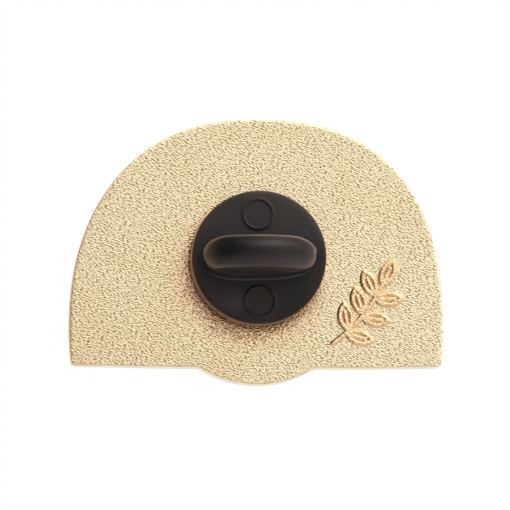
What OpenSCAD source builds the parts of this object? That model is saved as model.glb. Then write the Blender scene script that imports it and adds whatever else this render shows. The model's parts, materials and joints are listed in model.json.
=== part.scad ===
// Enamel pin, lying face down: a die-struck plate with enamel cells on its front,
// a post on its back and a rubber clutch pushed onto the post. Millimetres.
// X is to the right and Y up as seen from the back, and Z points out of the back.

/* [Plate] */
// Width across the widest line
plate_w = 30; // [26:0.5:36]
// Height of the arched top above the widest line
dome_h = 17.1; // [15:0.1:21]
// Height of the sides below the widest line
skirt_h = 2.75; // [2.4:0.05:4]
// Thickness
plate_t = 1.5; // [1.3:0.1:2.5]
// Fullness of the left shoulder, where 2 is an ellipse
left_shoulder_power = 2.25; // [2:0.01:3]
// Fullness of the right shoulder
right_shoulder_power = 2.52; // [2:0.01:3]
// How far the sides draw in at the base
corner_tuck = 0.15; // [0:0.05:0.5]
// Radius of the two base corners
corner_r = 0.35; // [0.1:0.05:0.6]
// How far the base bows down towards the bulge
base_bow = 0.15; // [0:0.05:0.4]
// Radius of the bulge in the base
bulge_r = 8.6; // [7:0.1:10]
// Depth of the bulge below the base
bulge_drop = 1.35; // [0.8:0.05:1.8]
// Radius of the hollow on each side of the bulge
bulge_fillet = 1.2; // [0.4:0.1:2]

/* [Enamel] */
// Width of the metal rim
rim_w = 0.7; // [0.5:0.05:0.9]
// Width of the metal lines between cells
line_w = 0.35; // [0.2:0.05:0.5]
// Depth of the cells
cell_depth = 0.5; // [0.3:0.05:0.7]
// How far the enamel lies below the metal lines
fill_drop = 0.1; // [0.05:0.05:0.2]
// Gap between enamel and metal at the sides
fill_gap = 0.01; // [0.005:0.005:0.03]
// Radius of the sun
sun_r = 5; // [4:0.1:5.5]
// Width of the halo around the sun
halo_w = 2.2; // [1.2:0.1:2.8]
// Radius of the sun's reflection in the water
reflection_r = 4.2; // [3.6:0.1:4.5]

/* [Sprig] */
// Width of the raised lines
sprig_line = 0.3; // [0.2:0.05:0.4]
// Height of the raised lines above the back
sprig_rise = 0.15; // [0.05:0.05:0.3]
// Length of a leaf
leaf_l = 2.4; // [2:0.1:2.6]
// Width of a leaf
leaf_w = 1.2; // [1:0.05:1.4]
// Angle between a leaf and the stem
leaf_spread = 55; // [45:1:65]
// Angle of the arc that the stem runs through
stem_sweep = 29; // [24:1:30]

/* [Post] */
// Height of the post's axis above the middle of the plate
post_y = -0.75; // [-1.5:0.05:1]
// Diameter of the shank
post_d = 1.15; // [1:0.05:1.3]
// Length from the plate's back to the point
post_l = 5.4; // [4.8:0.1:5.6]
// Diameter of the foot
foot_d = 3.2; // [2.6:0.1:3.6]
// Thickness of the foot
foot_t = 0.35; // [0.25:0.05:0.4]
// Width of the solder around the foot
solder_w = 0.5; // [0.3:0.05:0.6]

/* [Clutch] */
// Diameter of the disc
disc_d = 10.75; // [10.2:0.05:11.4]
// Thickness of the disc
disc_t = 2.4; // [2:0.1:2.8]
// Rounding of the disc's edge
disc_edge = 0.25; // [0.1:0.05:0.5]
// Length of the finger bar
bar_l = 9; // [8.4:0.1:9.4]
// Width of the bar at its foot
bar_foot_w = 3; // [2.8:0.05:3.3]
// Width of the bar near its top
bar_top_w = 2.55; // [2.4:0.05:2.7]
// Height of the middle of the bar above the disc
bar_rise = 4; // [3.8:0.1:4.6]
// How far the bar's arched top falls from its middle to its ends
bar_drop = 2.6; // [1:0.1:3]
// Rounding of the bar's top edge
bar_edge = 0.5; // [0.3:0.05:0.8]
// Angle at which the bar leans towards the plate's top
bar_lean = 4.7; // [0:0.1:6]
// Length of the low pad under the bar
pad_l = 8.8; // [8.4:0.1:9.2]
// Width of the pad
pad_w = 3.35; // [3.2:0.05:3.7]
// Height of the pad above the disc
pad_rise = 0.15; // [0.05:0.05:0.3]
// Diameter of the two moulding marks
mark_d = 2.5; // [1.8:0.1:2.8]
// Distance of the moulding marks from the axis
mark_reach = 3.5; // [3.3:0.05:3.7]
// Width of the slope around a moulding mark
mark_line = 0.12; // [0.08:0.02:0.2]
// Gap between the grip ridges and the post
grip_gap = 0.04; // [0.02:0.01:0.08]

/* [Hidden] */
$fn = 64;
ray_count = 11;
leaf_pairs = 3;
stem_bend = 12;
sprig_x = 6.1;
sprig_y = -0.9;
sprig_turn = -55;
base_drop = skirt_h + base_bow;
low_y = base_drop + bulge_drop;
// Height of the widest line, which brings the plate's middle to Y 0.
wide_y = (low_y - dome_h) / 2;
corner_x = plate_w / 2 - corner_tuck;
bulge_cy = bulge_r - low_y;
fillet_cy = -base_drop - bulge_fillet;
fillet_x = sqrt(bulge_drop * (2 * (bulge_r + bulge_fillet) - bulge_drop));
fillet_turn = atan2(bulge_cy - fillet_cy, -fillet_x);
ray_step = 180 / ray_count;
halo_r = sun_r + line_w + halo_w;
fill_t = cell_depth - fill_drop;
far = plate_w + dome_h;
sink = 0.1;
free_l = 1.75;
groove_t = 0.15;
groove_l = 0.6;
collar_l = 0.3;
tip_r = 0.12;
mark_rise = 0.06;
root_l = 0.5;
arch_r = (bar_l * bar_l / 4 + bar_drop * bar_drop) / (2 * bar_drop);
pad_y = -tan(bar_lean) * bar_rise / 2;
ridge_l = 0.8;
ridge_top_l = 0.3;
recess_r = foot_d / 2 + solder_w + 0.4;
recess_t = foot_t + 0.4;
neck_r = post_d / 2 + 0.7;
neck_l = foot_t + free_l + 0.2;
bore_r = post_d / 2 + 0.25;
bore_l = post_l + 0.2;

metal = [0.86, 0.70, 0.42];
solder = [0.78, 0.66, 0.45];
black = [0.09, 0.085, 0.085];
yellow = [0.96, 0.72, 0.12];
orange = [0.90, 0.42, 0.10];
amber = [0.94, 0.56, 0.14];
sky = [0.25, 0.56, 0.80];
pale = [0.70, 0.86, 0.90];
navy = [0.05, 0.20, 0.38];

// Distance from the dome's centre to its edge, in direction a.
function dome_reach(a, inset) =
    let (n = cos(a) >= 0 ? right_shoulder_power : left_shoulder_power)
    let (across = abs(cos(a)) / (plate_w / 2 - inset))
    let (up = abs(sin(a)) / (dome_h - inset))
    pow(pow(across, n) + pow(up, n), -1 / n);

function arc(cx, cy, r, from, to, steps) =
    [for (k = [0:steps]) let (a = from + (to - from) * k / steps) [cx + r * cos(a), cy + r * sin(a)]];

// The right half of the base, from the middle of the bulge to the side.
function base_half(inset) =
    let (r = max(corner_r - inset, 0.02))
    let (side = corner_x - inset)
    let (flat_y = -base_drop + inset)
    let (edge_y = -skirt_h + inset)
    concat(
        arc(0, bulge_cy, bulge_r - inset, -90, fillet_turn - 180, 14),
        arc(fillet_x, fillet_cy, bulge_fillet + inset, fillet_turn, 90, 6),
        [for (k = [1:7])
            let (u = k / 8)
            [fillet_x + (side - r - fillet_x) * u, flat_y + (edge_y - flat_y) * u * u]],
        arc(side - r, edge_y + r, r, -90, 0, 5),
        [for (k = [1:3])
            let (u = 1 - k / 4)
            [side + corner_tuck * (1 - u * u), (edge_y + r) * u]]
    );

// The plate's outline, drawn in by inset, around the middle of the widest line.
function outline(inset) =
    let (half = base_half(inset))
    let (last = len(half) - 1)
    concat(
        half,
        [for (k = [0:90]) let (a = 2 * k) dome_reach(a, inset) * [cos(a), sin(a)]],
        [for (k = [0:last - 1]) [-half[last - k][0], half[last - k][1]]]
    );

module above_horizon(gap) {
    translate([-far, line_w / 2 + gap])
        square([2 * far, far]);
}

module below_horizon(gap) {
    translate([-far, -line_w / 2 - gap - far])
        square([2 * far, far]);
}

module sun_cell(gap) {
    intersection() {
        circle(sun_r - gap);
        above_horizon(gap);
    }
}

module halo_cell(gap) {
    intersection() {
        difference() {
            circle(halo_r - gap);
            circle(sun_r + line_w + gap);
        }
        above_horizon(gap);
    }
}

module ray_cell(i, gap) {
    from = (i - 1) * ray_step;
    to = i * ray_step;
    middle = (from + to) / 2;
    tip = (line_w / 2 + gap) / sin(ray_step / 2) * [cos(middle), sin(middle)];
    difference() {
        intersection() {
            polygon(outline(rim_w + gap));
            polygon([tip, tip + far * [cos(from), sin(from)], tip + far * [cos(to), sin(to)]]);
        }
        circle(halo_r + line_w + gap);
    }
}

module water_cell(side, gap) {
    difference() {
        intersection() {
            polygon(outline(rim_w + gap));
            below_horizon(gap);
            translate([side < 0 ? -far : 0, -far])
                square([far, 2 * far]);
        }
        circle(reflection_r + line_w + gap);
    }
}

module reflection_cell(gap) {
    intersection() {
        polygon(outline(rim_w + gap));
        below_horizon(gap);
        circle(reflection_r - gap);
    }
}

// A leaf that points along X from its stalk, with a rib down its middle.
module leaf() {
    r = (leaf_l * leaf_l + leaf_w * leaf_w) / (4 * leaf_w);
    translate([leaf_l / 2, 0]) {
        difference() {
            leaf_shape(r, r);
            leaf_shape(r, r - sprig_line);
        }
        translate([-leaf_l / 2, -sprig_line / 2])
            square([leaf_l * 0.68, sprig_line]);
    }
}

// Two circles, each off to one side of the middle, cross in a leaf.
module leaf_shape(r, drawn_r) {
    aside = r - leaf_w / 2;
    intersection() {
        translate([0, aside])
            circle(drawn_r);
        translate([0, -aside])
            circle(drawn_r);
    }
}

// A sprig of leaves on a curved stem, low at the right of the back.
module sprig() {
    translate([sprig_x, sprig_y])
        rotate(sprig_turn)
            translate([-stem_bend, 0]) {
                intersection() {
                    difference() {
                        circle(stem_bend + sprig_line / 2);
                        circle(stem_bend - sprig_line / 2);
                    }
                    polygon(2 * stem_bend * [[0, 0], [1, 0], [cos(stem_sweep), sin(stem_sweep)]]);
                }
                rotate(stem_sweep)
                    translate([stem_bend, -sink])
                        rotate(90)
                            leaf();
                for (k = [1:leaf_pairs], side = [-1, 1])
                    rotate(stem_sweep * (k - 0.25 + side * 0.07) / (leaf_pairs + 0.35))
                        translate([stem_bend, 0])
                            rotate(90 + side * leaf_spread)
                                leaf();
            }
}

module base_plate() {
    color(metal)
        translate([0, wide_y, 0]) {
            difference() {
                linear_extrude(plate_t)
                    polygon(outline(0));
                translate([0, 0, -1])
                    linear_extrude(cell_depth + 1) {
                        sun_cell(0);
                        halo_cell(0);
                        for (i = [1:ray_count])
                            ray_cell(i, 0);
                        for (side = [-1, 1])
                            water_cell(side, 0);
                        reflection_cell(0);
                    }
            }
            translate([0, 0, plate_t - sink])
                linear_extrude(sprig_rise + sink)
                    sprig();
        }
}

// Enamel fills the cell drawn by its child and rests on the cell's floor.
module enamel(tint) {
    color(tint)
        translate([0, wide_y, fill_drop])
            linear_extrude(fill_t)
                children();
}

module post() {
    r = post_d / 2;
    point = post_l - post_d;
    grooves = [foot_t + free_l, point - collar_l - groove_l];
    color(metal)
        translate([0, post_y, plate_t])
            rotate_extrude()
                polygon(concat(
                    [[0, 0], [foot_d / 2, 0], [foot_d / 2, foot_t], [r, foot_t]],
                    [for (z = grooves, p = [[0, 0], [groove_t, groove_l / 2], [0, groove_l]])
                        [r - p[0], z + p[1]]],
                    [[r, point], [tip_r, post_l], [0, post_l]]
                ));
}

module solder_ring() {
    color(solder)
        translate([0, post_y, plate_t])
            rotate_extrude()
                translate([foot_d / 2, 0])
                    polygon([[0, 0], [solder_w, 0], [solder_w * 0.4, foot_t * 0.3], [0, foot_t * 0.8]]);
}

// A straight-sided shape with half-round ends.
module slot(l, w) {
    square([l - w, w], center = true);
    for (side = [-1, 1])
        translate([side * (l - w) / 2, 0])
            circle(d = w);
}

// A wheel that stands on edge, whose rounded rim is the bar's arched top.
module bar_wheel() {
    half = concat(
        [[0, bar_foot_w / 2], [max(arch_r - bar_rise, sink), bar_foot_w / 2]],
        arc(arch_r - bar_edge, bar_top_w / 2 - bar_edge, bar_edge, 90, 0, 6)
    );
    last = len(half) - 1;
    rotate([90, 0, 0])
        rotate_extrude()
            polygon(concat(half, [for (k = [0:last]) [half[last - k][0], -half[last - k][1]]]));
}

// The finger bar above the disc's top, cut from its wheel to its length and round ends.
module finger_bar() {
    translate([0, 0, bar_rise / 2])
        rotate([-bar_lean, 0, 0])
            intersection() {
                translate([0, 0, bar_rise / 2 - arch_r])
                    bar_wheel();
                translate([0, 0, -bar_rise / 2 - root_l])
                    linear_extrude(bar_rise + root_l + sink)
                        slot(bar_l, bar_foot_w);
            }
    translate([0, pad_y, -sink])
        linear_extrude(pad_rise + sink)
            slot(pad_l, pad_w);
}

module clutch_disc() {
    r = disc_d / 2;
    rotate_extrude()
        polygon(concat(
            [[0, 0], [r - disc_edge / 2, 0], [r, disc_edge / 2]],
            arc(r - disc_edge, disc_t - disc_edge, disc_edge, 0, 90, 4),
            [[0, disc_t]]
        ));
}

module moulding_mark() {
    cylinder(d = mark_d, h = mark_rise + sink);
    cylinder(d1 = mark_d, d2 = mark_d - 2 * mark_line, h = mark_rise + mark_line / 4 + sink);
}

// The hollow under the clutch and the blind hole with two grip ridges.
module post_hole() {
    grip_r = post_d / 2 + grip_gap;
    ridges = [neck_l + ridge_l, bore_l - 2 * ridge_l];
    half = ridge_l / 2;
    flat = ridge_top_l / 2;
    rotate_extrude()
        polygon(concat(
            [[0, -1], [recess_r, -1], [recess_r, recess_t], [neck_r, recess_t + 0.5], [neck_r, neck_l]],
            [for (z = ridges, p = [[bore_r, -half], [grip_r, -flat], [grip_r, flat], [bore_r, half]])
                [p[0], z + p[1]]],
            [[bore_r, bore_l - half], [2 * tip_r, bore_l], [0, bore_l]]
        ));
}

module rubber_clutch() {
    color(black)
        translate([0, post_y, plate_t])
            difference() {
                union() {
                    clutch_disc();
                    translate([0, 0, disc_t])
                        finger_bar();
                    for (side = [-1, 1])
                        translate([0, side * mark_reach, disc_t - sink])
                            moulding_mark();
                }
                post_hole();
            }
}

base_plate();
post();
solder_ring();
rubber_clutch();
enamel(yellow) sun_cell(fill_gap);  // enamel_sun
enamel(orange) halo_cell(fill_gap);  // enamel_halo
for (i = [1:ray_count])
    enamel(i % 2 == 1 ? sky : pale)
        ray_cell(i, fill_gap);
enamel(navy) water_cell(-1, fill_gap);  // enamel_water_left
enamel(navy) water_cell(1, fill_gap);  // enamel_water_right
enamel(amber) reflection_cell(fill_gap);  // enamel_reflection
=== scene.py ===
import json
import math

import bmesh
import bpy
import numpy as np
from mathutils import Matrix, Vector
from mathutils.geometry import delaunay_2d_cdt


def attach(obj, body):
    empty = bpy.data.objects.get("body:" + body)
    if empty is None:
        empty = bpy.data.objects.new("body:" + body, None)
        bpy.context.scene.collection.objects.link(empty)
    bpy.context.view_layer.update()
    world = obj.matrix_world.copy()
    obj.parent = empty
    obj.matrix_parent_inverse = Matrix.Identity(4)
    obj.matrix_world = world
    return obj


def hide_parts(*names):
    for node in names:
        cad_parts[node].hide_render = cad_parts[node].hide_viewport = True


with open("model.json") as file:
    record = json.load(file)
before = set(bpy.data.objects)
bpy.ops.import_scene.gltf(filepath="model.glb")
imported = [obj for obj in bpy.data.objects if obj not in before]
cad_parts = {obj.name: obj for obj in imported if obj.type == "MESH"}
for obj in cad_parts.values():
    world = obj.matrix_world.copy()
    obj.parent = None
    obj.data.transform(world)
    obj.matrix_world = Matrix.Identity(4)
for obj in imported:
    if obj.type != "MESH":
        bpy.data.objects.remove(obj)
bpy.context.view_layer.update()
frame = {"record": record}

MM = 0.001

# Sizes are in millimetres and turns in degrees

# Plate, as the solid has it
PLATE_W = 30.0
DOME_H = 17.1
SKIRT_H = 2.75
PLATE_T = 1.5
# Powers of the dome's curve on each side of its top
LEFT_SHOULDER = 2.25
RIGHT_SHOULDER = 2.52
CORNER_TUCK = 0.15
CORNER_R = 0.35
LEAST_R = 0.02
BASE_BOW = 0.15
BULGE_R = 8.6
BULGE_DROP = 1.35
BULGE_FILLET = 1.2
BASE_DROP = SKIRT_H + BASE_BOW
LOW_Y = BASE_DROP + BULGE_DROP
WIDE_Y = (LOW_Y - DOME_H) / 2
CORNER_X = PLATE_W / 2 - CORNER_TUCK
BULGE_CY = BULGE_R - LOW_Y
FILLET_CY = -BASE_DROP - BULGE_FILLET
FILLET_X = math.sqrt(BULGE_DROP * (2 * (BULGE_R + BULGE_FILLET) - BULGE_DROP))
FILLET_TURN = math.degrees(math.atan2(BULGE_CY - FILLET_CY, -FILLET_X))

# Cells of the front and their enamel
RIM_W = 0.7
LINE_W = 0.35
CELL_DEPTH = 0.5
CELL_EDGE = 0.05
SUN_R = 5.0
HALO_W = 2.2
HALO_R = SUN_R + LINE_W + HALO_W
REFLECTION_R = 4.2
RAY_COUNT = 11
RAY_STEP = 180 / RAY_COUNT
FILL_DROP = 0.1
FILL_GAP = 0.01
FILL_CLEAR = 0.002
FILL_SAG = 0.03
DRAW_UP = 0.07
DRAW_UP_W = 0.12
DISH = 0.01
DISH_W = 0.8
ENAMEL_STEP = 0.3
ENAMEL_ROWS = (0.05, 0.12, 0.22)
ROW_GAP = 0.04

# Sprig on the back
SPRIG_AT = (6.1, -0.9)
SPRIG_TURN = -55.0
STEM_BEND = 12.0
STEM_SWEEP = 29.0
STEM_SPARE = 0.5
LEAF_L = 2.4
LEAF_W = 1.2
LEAF_SPREAD = 55.0
LEAF_PAIRS = 3
# Shares of the step between leaf pairs: back from each step, between the two leaves, and left above the last
LEAF_SETBACK = 0.25
LEAF_STAGGER = 0.07
LEAF_TAIL = 0.35
LEAF_OVERLAP = 0.02
RIB_SHARE = 0.68
SPRIG_LINE = 0.3
SPRIG_RISE = 0.15
# Half widths of a raised line at its top and at its foot, and of the zone that its own points fill
LINE_TOP = 0.11
LINE_FOOT = 0.22
LINE_ZONE = 0.31
LINE_OFFSETS = (-0.27, -0.21, -0.16, -0.11, 0.0, 0.11, 0.16, 0.21, 0.27)
LINE_STEP = 0.1
LEAST_STEP = 0.045

# Edges and grain of the plate
BACK_EDGE = 0.08
BACK_MARGIN = 0.06
BACK_FALL = 0.012
FALL_REACH = 0.3
BASE_FADE = 0.8
FRONT_EDGE = 0.12
GRAIN_CELLS = (480, 640)
GRAIN_CELL = 0.05
GRAIN_PITCH = 0.20
GRAIN_BAND = 0.35
GRAIN_STRETCH = 1.6
GRAIN_TURN = -20.0
GRAIN_HEIGHT = 0.0045
GRAIN_LIMIT = 2.2
GRAIN_FADE = 0.22
GRAIN_SEED = 7
FLECK_SIZE = (0.24, 0.10, 0.25)
FLECK_HEIGHT = 0.039
BACK_STEP = 0.088
MARGIN_STEP = 0.2
LOOP_STEP = 0.16
BACK_ZONE = 0.4
WELD = 0.002

# Post and solder
POST_Y = -0.75
POST_R = 0.575
POST_L = 5.4
FOOT_R = 1.6
FOOT_T = 0.35
FOOT_EDGE = 0.08
SHANK_FILLET = 0.1
FREE_L = 1.75
GROOVE_T = 0.15
GROOVE_L = 0.6
COLLAR_L = 0.3
TIP_R = 0.12
POST_SIDES = 96
SOLDER_W = 0.5
SOLDER_H = 0.28
SOLDER_HOLLOW = 2.2
SOLDER_GAP = 0.002
SOLDER_LIP = 0.012
SOLDER_SIDES = 120

# Clutch: disc and hole
DISC_R = 5.375
DISC_FOOT_R = 5.355
DISC_FOOT_EDGE = 0.12
DISC_T = 2.4
DISC_EDGE = 0.3
DISC_DOME = 0.12
DISC_OVAL = 0.009
DISC_OVAL_TURN = 40.0
DISC_SHIFT = (0.0, 0.04)
RECESS_R = 2.5
RECESS_T = 0.75
RECESS_EDGE = 0.1
NECK_R = 1.275
NECK_L = 2.3
NECK_SLOPE_L = 0.5
BORE_R = 0.825
BORE_L = 5.6
GRIP_GAP = 0.04
GRIP_R = POST_R + GRIP_GAP
RIDGE_L = 0.8
RIDGE_TOP_L = 0.3
MARKS = ((-0.12, 3.47), (0.02, -3.53))
MARK_R = 1.25
MARK_RISE = 0.02
MARK_RING_H = 0.17
MARK_RING_W = 0.08
MARK_RING_IN = 0.05
CLUTCH_POINTS = 360
DISC_STEPS = 44
RIM_STEPS = 8

# Clutch: finger bar, as half lengths and half widths, and the pad under it
BAR_RISE = 4.0
BAR_TOP_L = 4.5
BAR_TOP_W = 1.27
BAR_FOOT_L = 4.2
BAR_FOOT_W = 1.44
BAR_EDGE_L = 0.8
BAR_EDGE_W = 0.5
BAR_EDGE_H = 0.5
BAR_SAG = 0.14
BAR_DROP = 2.6
BAR_ARCH_R = (BAR_TOP_L ** 2 + BAR_DROP ** 2) / (2 * BAR_DROP)
BAR_LEAN = (-0.13, 0.33)
BAR_FOOT_Y = -0.165
BAR_STEPS = (0.04, 0.15, 0.3, 0.45, 0.6, 0.72, 0.82, 0.9, 0.96)
# Side, run back along the bar and bluntness of each corner, anticlockwise from the upper right
BAR_CORNERS = ((1, 2.5, 2.4), (-1, 2.05, 2.2), (-1, 1.15, 2.1), (1, 1.3, 2.2))
FOOT_CORNERS = ((1, 3.4, 3.5), (-1, 3.4, 3.5), (-1, 3.0, 3.5), (1, 3.0, 3.5))
FOOT_BOW = 0.26
FOOT_SKEW = 0.038
FOOT_FILLET_H = 0.05
FOOT_FILLET_W = 0.03
PAD_L = 4.4
PAD_W = 1.62
PAD_H = 0.16
PAD_EDGE = 0.05
PAD_FILLET = 0.04
NUB_AT = 0.45
NUB_SPREAD = 0.22
NUB_REACH = 0.1

# Painted shade, reflections and highlights on and around the clutch, with the ways in which they lie from
# the middle of the clutch
SHADE_REACH = 2.8
SHADE_WAY = (-0.3, -0.95)
LEFT_WAY = (-0.9, 0.43)
CONTACT_SHADE_WAY = (-0.77, -0.64)
SIDE_SHADE_WAY = (0.64, -0.77)
RIM_HIGHLIGHT_WAY = (0.45, 0.89)
WALL_REFLECTION_WAY = (-0.82, -0.57)

# Camera
AIM = (-0.135, -0.27, 1.5)
VIEW_DISTANCE = 400.0
VIEW_WIDTH = 40.8
SENSOR_W = 36.0
TILT_DOWN = 7.2
TILT_LEFT = 5.7
ROLL = -0.23

# Floor and light, in metres, with levels at which 1 is white
FLOOR_HALF = 3.0
FLOOR_DROP = 0.00002
FLOOR_WHITE = 0.985
WINDOW_AT = (0.45, 0.58, 0.22)
WINDOW_SIZE = (0.3, 0.3)
WINDOW_LEVEL = 2.6
BRIGHT_WAY = (0.60, 0.73, 0.35)
BRIGHT_LEVEL = 1.48
DIM_LEVEL = 0.12
HORIZON_LEVEL = 0.55
LOWER_WAY = (0.30, -0.87, 0.38)
LOWER_LEVEL = 0.88

# Colours
GOLD = (0.85, 0.705, 0.46)
GOLD_DEEP = (0.80, 0.52, 0.27)
GOLD_PALE = (0.87, 0.74, 0.50)
# Painted shade in the grain's hollows
GOLD_PIT_SHADE = (0.23, 0.145, 0.022)
GOLD_EDGE = (0.80, 0.55, 0.34)
# Painted shade and reflection of the clutch on the plate
GOLD_SHADE_BROWN = (0.84, 0.42, 0.19)
# Painted shade: the clutch's contact shadow and the shaded hollows near it
GOLD_DEEP_SHADE = (0.22, 0.075, 0.030)
SOLDER = (0.72, 0.60, 0.40)
RUBBER = (0.0075, 0.0064, 0.0062)
# Painted sheen on the rubber
RUBBER_PAINTED_SHEEN = (0.084, 0.066, 0.064)
# Painted dark reflection on the bar's top
RUBBER_DARK_REFLECTION = (0.004, 0.003, 0.004)
# Painted highlights along the rubber's edges, also random rubbing and specks
RUBBER_WEAR_AND_HIGHLIGHT = (0.245, 0.150, 0.102)
# Painted reflection of the gold on the clutch's wall
RUBBER_GOLD_REFLECTION = (0.064, 0.025, 0.012)
RUBBER_SHEEN = (1.0, 0.78, 0.66)
ENAMEL = {
    "enamel_yellow": (0.91, 0.48, 0.013),
    "enamel_orange": (0.79, 0.147, 0.010),
    "enamel_amber": (0.87, 0.274, 0.017),
    "enamel_sky": (0.051, 0.274, 0.604),
    "enamel_pale": (0.448, 0.711, 0.788),
    "enamel_navy": (0.004, 0.033, 0.119),
}


# Plane shapes

def arc(cx, cy, r, start, stop, steps):
    """Points along an arc, with its angles in degrees."""
    a = np.radians(np.linspace(start, stop, steps + 1))
    return np.column_stack([cx + r * np.cos(a), cy + r * np.sin(a)])


def base_half(inset):
    """The right half of the plate's base, from the middle of the bulge to the side."""
    r = max(CORNER_R - inset, LEAST_R)
    side = CORNER_X - inset
    flat_y = -BASE_DROP + inset
    edge_y = -SKIRT_H + inset
    u = np.linspace(0, 1, 25)[1:-1]
    v = np.linspace(1, 0, 9)[1:-1]
    return np.vstack([
        arc(0, BULGE_CY, BULGE_R - inset, -90, FILLET_TURN - 180, 28),
        arc(FILLET_X, FILLET_CY, BULGE_FILLET + inset, FILLET_TURN, 90, 10)[1:],
        np.column_stack([FILLET_X + (side - r - FILLET_X) * u, flat_y + (edge_y - flat_y) * u ** 2]),
        arc(side - r, edge_y + r, r, -90, 0, 8),
        np.column_stack([side + CORNER_TUCK * (1 - v ** 2), (edge_y + r) * v]),
    ])


def outline(inset=0.0):
    """The plate's outline, drawn in by inset, anticlockwise about the middle of its widest line."""
    half = base_half(inset)
    a = np.radians(np.linspace(0, 180, 181))
    power = np.where(np.cos(a) >= 0, RIGHT_SHOULDER, LEFT_SHOULDER)
    across = np.abs(np.cos(a)) / (PLATE_W / 2 - inset)
    up = np.abs(np.sin(a)) / (DOME_H - inset)
    reach = (across ** power + up ** power) ** (-1 / power)
    dome = np.column_stack([reach * np.cos(a), reach * np.sin(a)])
    return np.vstack([half, dome, half[:0:-1] * [-1, 1]])


def spread(loop, count):
    """A closed loop drawn with count points at even steps along it."""
    closed = np.vstack([loop, loop[:1]])
    length = np.concatenate([[0], np.cumsum(np.linalg.norm(np.diff(closed, axis=0), axis=1))])
    at = np.arange(count) * length[-1] / count
    return np.column_stack([np.interp(at, length, closed[:, k]) for k in (0, 1)])


def even_loop(loop, step):
    """A closed loop drawn with points about step apart."""
    length = np.sum(np.linalg.norm(np.roll(loop, -1, 0) - loop, axis=1))
    return spread(loop, round(length / step))


def fine_loop(loop, step):
    """A closed loop with its corners kept and no side longer than step."""
    points = []
    for p, q in zip(loop, np.roll(loop, -1, 0)):
        count = math.ceil(np.linalg.norm(q - p) / step)
        points += [p + (q - p) * k / count for k in range(count)]
    return np.array(points)


def outward(loop):
    """Normals out of an anticlockwise loop, longer at its corners so that offsets stay parallel."""
    before = loop - np.roll(loop, 1, 0)
    after = np.roll(loop, -1, 0) - loop
    before /= np.linalg.norm(before, axis=1)[:, None]
    after /= np.linalg.norm(after, axis=1)[:, None]
    middle = before + after
    middle /= np.linalg.norm(middle, axis=1)[:, None]
    stretch = np.maximum(np.sum(middle * after, axis=1), 0.5)
    return np.column_stack([middle[:, 1], -middle[:, 0]]) / stretch[:, None]


def chunks(points, size=8000):
    return [points[k:k + size] for k in range(0, len(points), size)]


def inside(points, loop):
    """Which points lie inside a loop."""
    x0, y0 = loop[:, 0], loop[:, 1]
    x1, y1 = np.roll(x0, -1), np.roll(y0, -1)
    slope = (x1 - x0) / np.where(y1 == y0, 1e-12, y1 - y0)
    found = []
    for part in chunks(points):
        x, y = part[:, :1], part[:, 1:]
        crossed = ((y0 > y) != (y1 > y)) & (x < x0 + (y - y0) * slope)
        found.append(crossed.sum(axis=1) % 2 == 1)
    return np.concatenate(found)


def edge_distance(points, loop):
    """Distance from each point to the nearest side of a loop."""
    side = np.roll(loop, -1, 0) - loop
    length2 = np.sum(side ** 2, axis=1)
    found = []
    for part in chunks(points, 4000):
        to = part[:, None, :] - loop[None]
        t = np.clip(np.sum(to * side, axis=2) / length2, 0, 1)
        found.append(np.sqrt(np.min(np.sum((to - t[..., None] * side) ** 2, axis=2), axis=1)))
    return np.concatenate(found)


def hex_grid(low, high, step):
    """Points in a triangular grid over a rectangle."""
    rows = []
    for k, y in enumerate(np.arange(low[1], high[1], step * math.sqrt(3) / 2)):
        x = np.arange(low[0] + (k % 2) * step / 2, high[0], step)
        rows.append(np.column_stack([x, np.full(len(x), y)]))
    return np.vstack(rows)


def clip(loop, point, normal):
    """The part of a loop on the far side of a line from its normal."""
    level = (loop - point) @ np.asarray(normal)
    kept = []
    for p, q, a, b in zip(loop, np.roll(loop, -1, 0), level, np.roll(level, -1)):
        if a <= 0:
            kept.append(p)
        if (a < 0 < b) or (b < 0 < a):
            kept.append(p + (q - p) * a / (a - b))
    return np.array(kept)


def without_disc(loop, r):
    """A loop that a disc about the origin bites into once, with the bite taken away."""
    level = np.linalg.norm(loop, axis=1) - r
    start = next(k for k in range(len(loop)) if level[k] >= 0 > level[k - 1])
    loop, level = np.roll(loop, -start, 0), np.roll(level, -start)
    stop = next(k for k in range(len(loop)) if level[k] < 0)

    def meet(k, m):
        p, q = loop[k], loop[m]
        lo, hi = 0.0, 1.0
        for _ in range(40):
            t = (lo + hi) / 2
            lo, hi = (lo, t) if (np.linalg.norm(p + (q - p) * t) - r) * level[k] < 0 else (t, hi)
        return p + (q - p) * lo

    first, last = meet(len(loop) - 1, 0), meet(stop - 1, stop)
    a0 = math.degrees(math.atan2(last[1], last[0]))
    a1 = math.degrees(math.atan2(first[1], first[0]))
    bite = arc(0, 0, r, a0, a1, max(4, round(abs(a1 - a0) / 4)))
    return np.vstack([first, loop[:stop], bite[:-1]])


def anticlockwise(loop):
    x, y = loop[:, 0], loop[:, 1]
    return loop if np.sum(x * np.roll(y, -1) - y * np.roll(x, -1)) > 0 else loop[::-1]


def fill(loops, points=None):
    """Triangles over what lies inside an odd number of loops, with the given points among their corners."""
    edges, start = [], 0
    for loop in loops:
        edges += [(start + k, start + (k + 1) % len(loop)) for k in range(len(loop))]
        start += len(loop)
    every = np.vstack(loops if points is None else [*loops, points])
    made = delaunay_2d_cdt([Vector(p) for p in every], edges, [], 0, 1e-7, False)
    flat = np.array([v[:] for v in made[0]])
    faces = np.array(made[2])
    middle = flat[faces].mean(axis=1)
    kept = np.zeros(len(faces), bool)
    for loop in loops:
        kept ^= inside(middle, loop)
    return flat, faces[kept]


# Cells of the front, in the plate's own plane

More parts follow.
